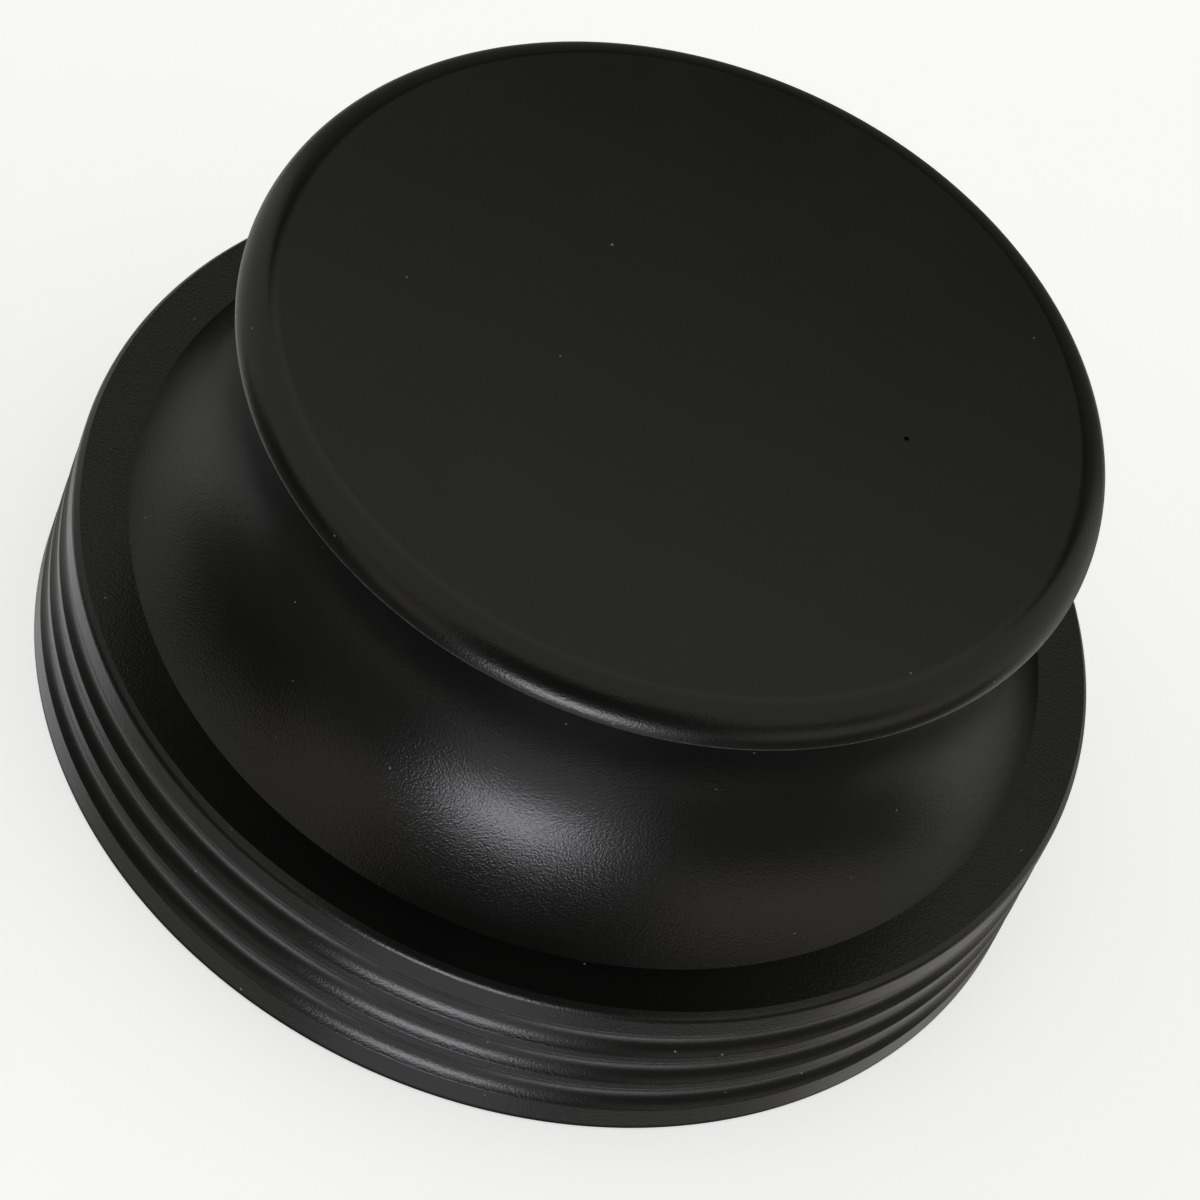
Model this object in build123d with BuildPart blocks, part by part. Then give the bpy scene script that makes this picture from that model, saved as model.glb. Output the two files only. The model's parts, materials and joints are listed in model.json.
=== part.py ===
"""Record weight: one solid turned from a round bar, bored underneath for the turntable's spindle.

A grooved base carries a hollow waist, which flares into a flat cap with a rounded top edge.
"""

import os

from build123d import *

# Driving dimensions, in millimetres: the axis is Z, and the underside lies on Z = 0.
overall_height = 40.7

base_diameter = 80.0
base_height = 14.9
base_edge_height = 0.6  # steep chamfer around the base's top
base_edge_width = 0.45
base_edge_rounding = 0.35  # length along wall and chamfer of the soft bend between them
base_bottom_chamfer = 0.2
ledge_width = 3.7  # flat ring between the base's top edge and the foot of the waist

groove_count = 3
groove_pitch = 3.5
groove_width = 2.8
groove_depth = 0.4

cap_diameter = 66.1
cap_edge_radius = 2.7
waist_hollow = 3.6  # depth below a straight line from the waist's foot to the cap's lip

spindle_diameter = 7.24
spindle_clearance = 0.08  # all round
bore_depth = 20.0
bore_lead_in = 0.8
bore_lead_in_angle = 90.0

# Sizes that follow from those above.
base_radius = base_diameter / 2
cap_radius = cap_diameter / 2
bore_radius = spindle_diameter / 2 + spindle_clearance

# Points of the half section, as distance from the axis and height.
underside_end = Vector(base_radius - base_bottom_chamfer, 0)
wall_start = Vector(base_radius, base_bottom_chamfer)
base_edge = Vector(base_radius, base_height - base_edge_height)
ledge_end = Vector(base_radius - base_edge_width, base_height)
wall_end = base_edge - Vector(0, base_edge_rounding)
chamfer_start = base_edge + (ledge_end - base_edge).normalized() * base_edge_rounding
waist_foot = Vector(ledge_end.X - ledge_width, base_height)
cap_lip = Vector(cap_radius, overall_height - cap_edge_radius)
cap_flat_end = Vector(cap_radius - cap_edge_radius, overall_height)


def hollow(start, end, depth):
    """A curve from start to end that bows to the left of its chord by the given depth."""
    chord = end - start
    pull = (start + end) / 2 + Vector(-chord.Y, chord.X).normalized() * depth * 2
    return Bezier(start, pull, end)


# One round-nosed groove, with its mouth on the base's wall.
with BuildSketch() as groove:
    lower_lip = Vector(0, -groove_width / 2)
    upper_lip = Vector(0, groove_width / 2)
    with BuildLine():
        hollow(lower_lip, upper_lip, groove_depth)
        Line(upper_lip, lower_lip)
    make_face()

with BuildPart() as record_weight:
    # The turned body: its half section, spun about the axis.
    with BuildSketch(Plane.XZ) as half_section:
        with BuildLine():
            Polyline((0, overall_height), (0, 0), underside_end, wall_start, wall_end)
            Bezier(wall_end, base_edge, chamfer_start)
            Polyline(chamfer_start, ledge_end, waist_foot)
            hollow(waist_foot, cap_lip, waist_hollow)
            RadiusArc(cap_lip, cap_flat_end, -cap_edge_radius)
            Line(cap_flat_end, (0, overall_height))
        make_face()
        # The grooves are spaced evenly about half the base's height.
        with Locations((base_radius, base_height / 2)):
            with GridLocations(0, groove_pitch, 1, groove_count):
                add(groove.sketch, mode=Mode.SUBTRACT)
    revolve(axis=Axis.Z)
    # The blind spindle bore, with its lead-in, drilled up from the underside.
    with Locations(Plane.XY.rotated((180, 0, 0))):
        CounterSinkHole(bore_radius, bore_radius + bore_lead_in, bore_depth, bore_lead_in_angle)

record_weight.part.label = "record_weight"

os.makedirs("parts", exist_ok=True)
export_step(record_weight.part, "parts/record_weight.step")
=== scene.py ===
"""Scene for the record weight: bead-blasted black aluminium on a white table, in soft studio light.

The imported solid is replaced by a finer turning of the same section, with its sharp edges broken.
"""

import json
import math

import bpy
from mathutils import Matrix, Vector, geometry


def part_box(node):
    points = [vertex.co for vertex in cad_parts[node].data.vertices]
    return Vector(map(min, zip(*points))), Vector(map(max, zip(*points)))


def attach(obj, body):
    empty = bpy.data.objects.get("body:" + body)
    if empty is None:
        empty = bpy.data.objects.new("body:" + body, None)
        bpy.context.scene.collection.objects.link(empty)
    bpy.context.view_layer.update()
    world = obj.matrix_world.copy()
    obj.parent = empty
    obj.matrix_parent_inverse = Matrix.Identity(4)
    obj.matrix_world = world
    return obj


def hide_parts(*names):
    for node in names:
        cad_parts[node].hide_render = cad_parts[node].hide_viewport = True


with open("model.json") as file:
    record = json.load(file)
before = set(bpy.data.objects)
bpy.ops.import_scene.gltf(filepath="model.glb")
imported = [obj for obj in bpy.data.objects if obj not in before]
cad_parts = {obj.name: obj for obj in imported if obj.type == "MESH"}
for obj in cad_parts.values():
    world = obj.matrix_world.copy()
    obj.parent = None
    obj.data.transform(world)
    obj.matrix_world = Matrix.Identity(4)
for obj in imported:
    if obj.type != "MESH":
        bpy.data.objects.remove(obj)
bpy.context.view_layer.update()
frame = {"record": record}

MM = 0.001
NODE = "record_weight"

# The turned section, in millimetres. The base's radius, the overall height and the bore's radius are taken
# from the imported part.
low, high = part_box(NODE)
BASE_RADIUS = (high.x - low.x) / 2 / MM
OVERALL_HEIGHT = (high.z - low.z) / MM
BASE_HEIGHT = 14.9
BASE_EDGE_HEIGHT = 0.6
BASE_EDGE_WIDTH = 0.45
BASE_EDGE_ROUNDING = 0.35
BASE_BOTTOM_CHAMFER = 0.2
LEDGE_WIDTH = 3.7
GROOVE_COUNT = 3
GROOVE_PITCH = 3.5
GROOVE_WIDTH = 2.8
GROOVE_DEPTH = 0.4
CAP_RADIUS = 33.05
CAP_EDGE_RADIUS = 2.7
WAIST_HOLLOW = 3.6
BORE = next(m for m in frame["record"]["mounts"] if m["name"] == "spindle_bore")
BORE_RADIUS = BORE["dims"]["r_mm"]
BORE_DEPTH = 20.0
BORE_LEAD_IN = 0.8
# Edges that blasting has softened.
GROOVE_LIP = 0.03  # share of a groove's half width that its rounded lip takes
CAP_LIP = 0.15  # length of the rounding on either side of the cap's lip
CAP_LIP_HEIGHT = OVERALL_HEIGHT - CAP_EDGE_RADIUS

# The finish: its black and its roughness drift slowly over the surface, each between two values.
BLACKS = (0.0018, 0.0028)
ROUGHNESS = (0.225, 0.255)
DRIFT_SCALE = 90.0  # per metre
DRIFT_DETAIL = 3.0
DRIFT_SPREAD = 0.6  # how much the drift's finer layers count
DRIFT_RANGE = (0.3, 0.7)  # the part of the drift that the values are spread over
COATING_IOR = 1.5
DUST_GREY = 0.22
# The blasted grain: its fineness per metre and its depth, and how the waist and the top's flat differ.
GRAIN_SCALE = 5800.0
GRAIN_DEPTH = 0.018
GRAIN_DETAIL = 1.0
WAIST_BLEND = 1.5  # height over which the waist's finish sets in at either end
WAIST_GRAIN = 1.55  # times the grain's depth
WAIST_ROUGHER = 0.02
FLAT_BLEND = 0.4  # height below the top over which the flat's finish sets in
FLAT_GRAIN = 0.2  # times the grain's depth
FLAT_SMOOTHER = 0.05
# Painted shade at the foot of the wall, standing in for the dark gap under the part that it mirrors: the
# heights between which its shine grows to the full.
FOOT_PAINTED_SHADE_LOW = 0.35
FOOT_PAINTED_SHADE_HIGH = 0.65
FOOT_PAINTED_SHADE_SHINE = 0.1
FULL_SHINE = 0.5

# How finely the section is spun and its curves are stepped.
TURN_STEPS = 300
GROOVE_STEPS = 14
EDGE_STEPS = 8
WAIST_STEPS = 48
CAP_EDGE_STEPS = 24
FLAT_STEPS = 5
HANDLE_SHARE = 2 / 3  # with handles this far along its end tangents, a cubic curve is a parabola
SHARP_ANGLE = 20.0  # degrees between faces that meet in a hard edge

# The camera, fitted to the photograph's outlines.
PHOTO_SIZE = 1200  # pixels
FOCAL_LENGTH = 6156.4  # pixels
VIEW_ELEVATION = 48.27  # degrees
VIEW_ROLL = -23.88  # degrees
VIEW_DISTANCE = 478.92
VIEW_CENTRE = (-60.61, -96.04)  # pixels from the photograph's middle to the base's centre
SENSOR_WIDTH = 36.0
CLIP_START = 0.01  # metres

# The studio: an even dome, and soft-edged lights, cards and gaps laid over it one after the other. Each has
# the middle and half width of its span about the axis, counted from the front to the right, its lower and
# upper edge above the horizon, and the fade to either side of its edges, all in degrees, and its colour.
DOME_COLOUR = (0.480, 0.475, 0.440)
CARDS = {
    "dark_table": (4, 107, -53, -11, 6, (0.110, 0.110, 0.098)),
    "paper": (0, 200, -100, -66, 6, (1.20, 1.25, 1.28)),
    "camera_side": (9, 31, -80, 51, 6, (0.07, 0.07, 0.063)),
    "front_glow": (9, 26, -69, 0, 6, (0.60, 0.60, 0.61)),
    "left_card": (-35, 16, -2.5, 15, 6, (0.53, 0.46, 0.36)),
    "left_gap": (-40, 21, 21, 31, 6, (0.30, 0.30, 0.21)),
    "right_card": (65, 22, -10, 13, 6, (0.60, 0.55, 0.52)),
    "right_gap": (58, 25, 13.5, 30, 6, (0.16, 0.16, 0.13)),
    "right_dark": (36, 7.5, -4, 19, 6, (0.10, 0.11, 0.09)),
    "left_dark": (-67, 20, -24, 4, 6, (0.060, 0.060, 0.045)),
    "back_light": (182, 44, 40, 70, 14, (0.56, 0.55, 0.52)),
    "back_strip": (182, 40, -26, 45, 2, (0.13, 0.13, 0.11)),
    "back_gap": (182, 40, 36, 45, 2, (0.05, 0.05, 0.042)),
    "back_table": (172, 34, -70, -30, 6, (0.24, 0.235, 0.23)),
    "left_back": (-122, 26, -62, -42, 6, (0.72, 0.71, 0.72)),
    "right_back": (122, 22, -66, -42, 6, (0.56, 0.54, 0.52)),
    "key_light": (6.4, 13.9, -24.3, -10, 6, (8.0, 7.9, 8.4)),
}

# Fine dust below the top's flat, by the specks' number per metre and their radius, and the specks that show
# on the flat, by place and radius, and the pit on the flat, whose hollow is painted shade, by place and
# radius.
DUST_SCALE = 380.0
DUST_RADIUS = 0.11
TOP_DUST = (
    ((-8.5, 8.0), 0.15),
    ((-21.0, -3.5), 0.10),
    ((-8.5, -4.5), 0.10),
    ((23.0, 17.0), 0.10),
    ((23.5, -19.0), 0.10),
)
PAINTED_PIT_SHADE_SPOTS = (((17.0, 2.0), 0.28),)

# The white table, which glows a little, so that it stays white under the part's soft shadow.
TABLE_WHITE = 0.85
TABLE_ROUGHNESS = 0.9
TABLE_GLOW = 0.62
FLOOR_HALF_WIDTH = 3.0  # metres
FLOOR_DROP = 0.02  # keeps the table and the underside out of one plane


def bend(start, pull, end, steps):
    """Points of a curve from start to end whose two end tangents meet at pull."""
    start, pull, end = Vector(start), Vector(pull), Vector(end)
    handles = [point.lerp(pull, HANDLE_SHARE) for point in (start, end)]
    return geometry.interpolate_bezier(start, *handles, end, steps + 1)


def straight(start, end, steps):
    """Evenly spaced points from start to end."""
    return [Vector(start).lerp(Vector(end), i / steps) for i in range(steps + 1)]


def groove(middle):
    """Points of a groove from its lower to its upper end, with both lips rounded."""
    half_width = GROOVE_WIDTH / 2
    floor_end = half_width * (1 - GROOVE_LIP)
    floor_share = (1 - GROOVE_LIP) ** 2
    floor_depth = GROOVE_DEPTH * (1 - floor_share)
    floor_pull = GROOVE_DEPTH * (1 + floor_share)
    # The tangent at the floor's end meets the wall here. The rounding is as long on the wall as below it.
    lip = half_width * (1 + floor_share) / (2 * (1 - GROOVE_LIP))
    wall_end = lip + math.hypot(lip - floor_end, floor_depth)
    lower_lip = bend((0, -wall_end), (0, -lip), (floor_depth, -floor_end), EDGE_STEPS)
    floor = bend((floor_depth, -floor_end), (floor_pull, 0), (floor_depth, floor_end), GROOVE_STEPS)
    upper_lip = bend((floor_depth, floor_end), (0, lip), (0, wall_end), EDGE_STEPS)
    profile = lower_lip + floor[1:-1] + upper_lip
    return [(BASE_RADIUS - inset, middle + place) for inset, place in profile]


def half_section():
    """The half section as (distance from the axis, height), from the bore's end to the top's middle."""
    points = [(0, BORE_DEPTH)]
    points += straight((BORE_RADIUS, BORE_DEPTH), (BORE_RADIUS, BORE_LEAD_IN), FLAT_STEPS)
    points += straight((BORE_RADIUS + BORE_LEAD_IN, 0), (BASE_RADIUS - BASE_BOTTOM_CHAMFER, 0), FLAT_STEPS)
    points.append((BASE_RADIUS, BASE_BOTTOM_CHAMFER))
    for i in range(GROOVE_COUNT):
        points += groove(BASE_HEIGHT / 2 + (i - (GROOVE_COUNT - 1) / 2) * GROOVE_PITCH)

    base_edge = Vector((BASE_RADIUS, BASE_HEIGHT - BASE_EDGE_HEIGHT))
    ledge_end = Vector((BASE_RADIUS - BASE_EDGE_WIDTH, BASE_HEIGHT))
    wall_end = base_edge - Vector((0, BASE_EDGE_ROUNDING))
    chamfer_start = base_edge + (ledge_end - base_edge).normalized() * BASE_EDGE_ROUNDING
    points += bend(wall_end, base_edge, chamfer_start, EDGE_STEPS)
    points.append(ledge_end)

    waist_foot = ledge_end - Vector((LEDGE_WIDTH, 0))
    cap_lip = Vector((CAP_RADIUS, CAP_LIP_HEIGHT))
    chord = cap_lip - waist_foot
    pull = (waist_foot + cap_lip) / 2 + Vector((-chord.y, chord.x)).normalized() * WAIST_HOLLOW * 2
    waist = bend(waist_foot, pull, cap_lip, WAIST_STEPS)
    lip_start = cap_lip + (pull - cap_lip).normalized() * CAP_LIP
    lip_turn = CAP_LIP / CAP_EDGE_RADIUS
    cap_edge = []
    for i in range(CAP_EDGE_STEPS + 1):
        turn = lip_turn + (math.radians(90) - lip_turn) * i / CAP_EDGE_STEPS
        out, up = math.cos(turn), math.sin(turn)
        cap_edge.append(cap_lip + CAP_EDGE_RADIUS * Vector((out - 1, up)))
    # The lip's rounding takes the place of the waist's last step.
    points += waist[:-2] + bend(lip_start, cap_lip, cap_edge[0], EDGE_STEPS) + cap_edge[1:]
    points += straight((CAP_RADIUS - CAP_EDGE_RADIUS, OVERALL_HEIGHT), (0, OVERALL_HEIGHT), FLAT_STEPS)[1:]
    return points


def spun(name, section):
    """A closed mesh object: the half section, which starts and ends on the axis, spun about Z."""
    rings = section[1:-1]
    verts = [(0, 0, section[0][1] * MM), (0, 0, section[-1][1] * MM)]
    first = len(verts)
    last = first + (len(rings) - 1) * TURN_STEPS
    for radius, height in rings:
        for i in range(TURN_STEPS):
            turn = 2 * math.pi * i / TURN_STEPS
            verts.append((radius * math.cos(turn) * MM, radius * math.sin(turn) * MM, height * MM))
    faces = []
    for i in range(TURN_STEPS):
        k = (i + 1) % TURN_STEPS
        faces.append((0, first + k, first + i))
        faces.append((1, last + i, last + k))
        for row in range(first, last, TURN_STEPS):
            faces.append((row + i, row + k, row + TURN_STEPS + k, row + TURN_STEPS + i))
    mesh = bpy.data.meshes.new(name)
    mesh.from_pydata(verts, [], faces)
    mesh.shade_smooth()
    mesh.set_sharp_from_angle(angle=math.radians(SHARP_ANGLE))
    piece = bpy.data.objects.new(name, mesh)
    bpy.context.scene.collection.objects.link(piece)
    # The flat faces stay flat up to their edges.
    flats = piece.modifiers.new("flats", "WEIGHTED_NORMAL")
    flats.keep_sharp = True
    return piece


def feed(tree, socket, value):
    """Links an input to another node's output, or sets it to a plain value."""
    if isinstance(value, bpy.types.NodeSocket):
        tree.links.new(value, socket)
    else:
        socket.default_value = value


def node(tree, kind, **settings):
    """A new node of a tree: settings named after a socket set that socket, and the others set a property."""
    new = tree.nodes.new("ShaderNode" + kind)
    for key, value in settings.items():
        socket = new.inputs.get(key.replace("_", " "))
        if socket is None:
            setattr(new, key, value)
        else:
            feed(tree, socket, value)
    return new


def maths(tree, operation, *values):
    """The output of a Math node whose inputs are numbers or sockets."""
    new = tree.nodes.new("ShaderNodeMath")
    new.operation = operation
    for socket, value in zip(new.inputs, values):
        feed(tree, socket, value)
    return new.outputs[0]


def remap(tree, value, start, end, low_value=0.0, high_value=1.0, smooth=True):
    """The value's place between start and end, as a number from low_value to high_value."""
    new = node(tree, "MapRange", Value=value, From_Min=start, From_Max=end)
    new.inputs["To Min"].default_value = low_value
    new.inputs["To Max"].default_value = high_value
    new.interpolation_type = "SMOOTHSTEP" if smooth else "LINEAR"
    return new.outputs["Result"]


def mix_colour(tree, factor, first, second):
    """A mix of two colours, which are sockets or colour values."""
    new = tree.nodes.new("ShaderNodeMix")
    new.data_type = "RGBA"
    sockets = [s for s in new.inputs if s.enabled]
    for socket, value in zip(sockets, (factor, first, second)):
        feed(tree, socket, value)
    return next(s for s in new.outputs if s.enabled)


def grey(value):
    """An opaque grey."""
    return (value, value, value, 1.0)


def top_mask(tree, place, specks):
    """One inside each speck on the top, given by its place and radius, and zero around it."""
    mask = 0.0
    for spot, radius in specks:
        away = node(tree, "VectorMath", operation="DISTANCE")
        tree.links.new(place, away.inputs[0])
        away.inputs[1].default_value = Vector((*spot, OVERALL_HEIGHT)) * MM
        speck = remap(tree, away.outputs["Value"], radius * MM, radius * MM / 2)
        mask = maths(tree, "MAXIMUM", mask, speck)
    return mask


def black_anodised():
    """Bead-blasted aluminium, anodised black: a fine grain that sparkles in the light, and a little dust,
    with painted shade at the wall's foot and in a pit.
    """
    material = bpy.data.materials.new("black_anodised")
    material.use_nodes = True
    tree = material.node_tree
    shader = tree.nodes["Principled BSDF"]
    place = node(tree, "TexCoord").outputs["Object"]
    x, y, height = node(tree, "SeparateXYZ", Vector=place).outputs
    drift = node(tree, "TexNoise", Vector=place, Scale=DRIFT_SCALE, Detail=DRIFT_DETAIL)
    drift.inputs["Roughness"].default_value = DRIFT_SPREAD
    drift = remap(tree, drift.outputs[0], *DRIFT_RANGE)

    flat = remap(tree, height, (OVERALL_HEIGHT - FLAT_BLEND) * MM, OVERALL_HEIGHT * MM)
    specks = node(tree, "TexVoronoi", Vector=place, Scale=DUST_SCALE).outputs["Distance"]
    speck_size = DUST_RADIUS * MM * DUST_SCALE
    dust = remap(tree, specks, speck_size, speck_size / 2)
    dust = maths(tree, "MULTIPLY", dust, maths(tree, "SUBTRACT", 1.0, flat))
    dust = maths(tree, "MAXIMUM", dust, top_mask(tree, place, TOP_DUST))
    black = mix_colour(tree, drift, *(grey(value) for value in BLACKS))
    tree.links.new(mix_colour(tree, dust, black, grey(DUST_GREY)), shader.inputs["Base Color"])

    # The waist was blasted most, and the top's flat least.
    waist_foot = remap(tree, height, BASE_HEIGHT * MM, (BASE_HEIGHT + WAIST_BLEND) * MM)
    waist_end = remap(tree, height, CAP_LIP_HEIGHT * MM, (CAP_LIP_HEIGHT - WAIST_BLEND) * MM)
    waist = maths(tree, "MULTIPLY", waist_foot, waist_end)
    rough = remap(tree, drift, 0.0, 1.0, *ROUGHNESS, smooth=False)
    rough = maths(tree, "MULTIPLY_ADD", waist, WAIST_ROUGHER, rough)
    rough = maths(tree, "MULTIPLY_ADD", flat, -FLAT_SMOOTHER, rough)
    tree.links.new(rough, shader.inputs["Roughness"])
    relief = maths(tree, "MULTIPLY_ADD", waist, WAIST_GRAIN - 1, 1.0)
    relief = maths(tree, "MULTIPLY_ADD", flat, FLAT_GRAIN - 1, relief)
    grain = node(tree, "TexNoise", Vector=place, Scale=GRAIN_SCALE, Detail=GRAIN_DETAIL)
    grain = maths(tree, "MULTIPLY", grain.outputs[0], relief)
    bump = node(tree, "Bump", Height=grain, Strength=1.0, Distance=GRAIN_DEPTH * MM)
    tree.links.new(bump.outputs["Normal"], shader.inputs["Normal"])

    shader.inputs["IOR"].default_value = COATING_IOR
    # Painted shade: the foot of the wall shines little, standing in for the dark gap under the part that it
    # mirrors; the underside shines as the rest does, and the pit's hollow, painted as a dark spot, not at
    # all.
    shine_with_painted_shade = remap(tree, height, FOOT_PAINTED_SHADE_LOW * MM, FOOT_PAINTED_SHADE_HIGH * MM, FOOT_PAINTED_SHADE_SHINE, FULL_SHINE)
    radius = maths(tree, "SQRT", maths(tree, "MULTIPLY_ADD", x, x, maths(tree, "MULTIPLY", y, y)))
    wall_foot = BASE_RADIUS - BASE_BOTTOM_CHAMFER
    underside = remap(tree, radius, wall_foot * MM, (wall_foot - BASE_BOTTOM_CHAMFER) * MM, 0.0, FULL_SHINE)
    shine_with_painted_shade = maths(tree, "MAXIMUM", shine_with_painted_shade, underside)
    # Painted shade: the pit's hollow is a spot without shine.
    painted_pit_shade = top_mask(tree, place, PAINTED_PIT_SHADE_SPOTS)
    shine_with_painted_shade = maths(tree, "MULTIPLY", shine_with_painted_shade, maths(tree, "SUBTRACT", 1.0, painted_pit_shade))
    tree.links.new(shine_with_painted_shade, shader.inputs["Specular IOR Level"])
    return material


def weight():
    """The visible part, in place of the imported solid."""
    piece = spun("weight_body", half_section())
    piece.data.materials.append(black_anodised())
    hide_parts(NODE)
    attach(piece, "root")


def table():
    """The white table that the part stands on."""
    mesh = bpy.data.meshes.new("table")
    side = FLOOR_HALF_WIDTH
    level = -FLOOR_DROP * MM
    corners = [(x, y, level) for x, y in ((-side, -side), (side, -side), (side, side), (-side, side))]
    mesh.from_pydata(corners, [], [(0, 1, 2, 3)])
    floor = bpy.data.objects.new("table", mesh)
    bpy.context.scene.collection.objects.link(floor)
    material = bpy.data.materials.new("table_white")
    material.use_nodes = True
    shader = material.node_tree.nodes["Principled BSDF"]
    shader.inputs["Base Color"].default_value = grey(TABLE_WHITE)
    shader.inputs["Roughness"].default_value = TABLE_ROUGHNESS
    shader.inputs["Specular IOR Level"].default_value = 0.0
    shader.inputs["Emission Color"].default_value = grey(1.0)
    shader.inputs["Emission Strength"].default_value = TABLE_GLOW
    mesh.materials.append(material)
    # The part mirrors the studio below the horizon, and the table doesn't shade it from that light.
    floor.visible_glossy = False
    floor.visible_shadow = False


def card_mask(tree, turn, elevation, middle, half_width, lowest, highest, edge):
    """One in the directions that a card covers and zero around it, with soft edges."""
    off = maths(tree, "WRAP", maths(tree, "SUBTRACT", turn, math.radians(middle)), math.pi, -math.pi)
    off = maths(tree, "ABSOLUTE", off)
    spans = (
        (off, half_width + edge, half_width - edge),
        (elevation, lowest - edge, lowest + edge),
        (elevation, highest + edge, highest - edge),
    )
    mask = 1.0
    for value, outside, inside in spans:
        covered = remap(tree, value, math.radians(outside), math.radians(inside))
        mask = maths(tree, "MULTIPLY", mask, covered)
    return mask


def studio():
    """The world: the dome with its cards, seen by the camera as plain white."""
    world = bpy.data.worlds.new("studio")
    bpy.context.scene.world = world
    world.use_nodes = True
    tree = world.node_tree
    direction = node(tree, "SeparateXYZ", Vector=node(tree, "TexCoord").outputs["Generated"])
    x, y, z = direction.outputs
    elevation = maths(tree, "ARCSINE", z)
    turn = maths(tree, "ARCTAN2", x, maths(tree, "MULTIPLY", y, -1.0))
    light = (*DOME_COLOUR, 1.0)
    for *place, colour in CARDS.values():
        light = mix_colour(tree, card_mask(tree, turn, elevation, *place), light, (*colour, 1.0))
    seen = node(tree, "LightPath").outputs["Is Camera Ray"]
    tree.links.new(mix_colour(tree, seen, light, grey(1.0)), tree.nodes["Background"].inputs["Color"])


def camera():
    """The photograph's viewpoint: above and in front of the part, and rolled."""
    elevation, roll = math.radians(VIEW_ELEVATION), math.radians(VIEW_ROLL)
    back = Vector((0, -math.cos(elevation), math.sin(elevation)))
    level = Vector((1, 0, 0))
    upright = back.cross(level)
    right = level * math.cos(roll) - upright * math.sin(roll)
    up = level * math.sin(roll) + upright * math.cos(roll)
    pixel = VIEW_DISTANCE / FOCAL_LENGTH
    place = back * VIEW_DISTANCE - right * VIEW_CENTRE[0] * pixel - up * VIEW_CENTRE[1] * pixel
    lens = bpy.data.cameras.new("camera")
    lens.sensor_width = SENSOR_WIDTH
    lens.lens = SENSOR_WIDTH * FOCAL_LENGTH / PHOTO_SIZE
    lens.clip_start = CLIP_START
    viewer = bpy.data.objects.new("camera", lens)
    viewer.matrix_world = Matrix.Translation(place * MM) @ Matrix((right, up, back)).transposed().to_4x4()
    bpy.context.scene.collection.objects.link(viewer)
    bpy.context.scene.camera = viewer


weight()
table()
studio()
camera()
bpy.context.scene.view_settings.view_transform = "Standard"
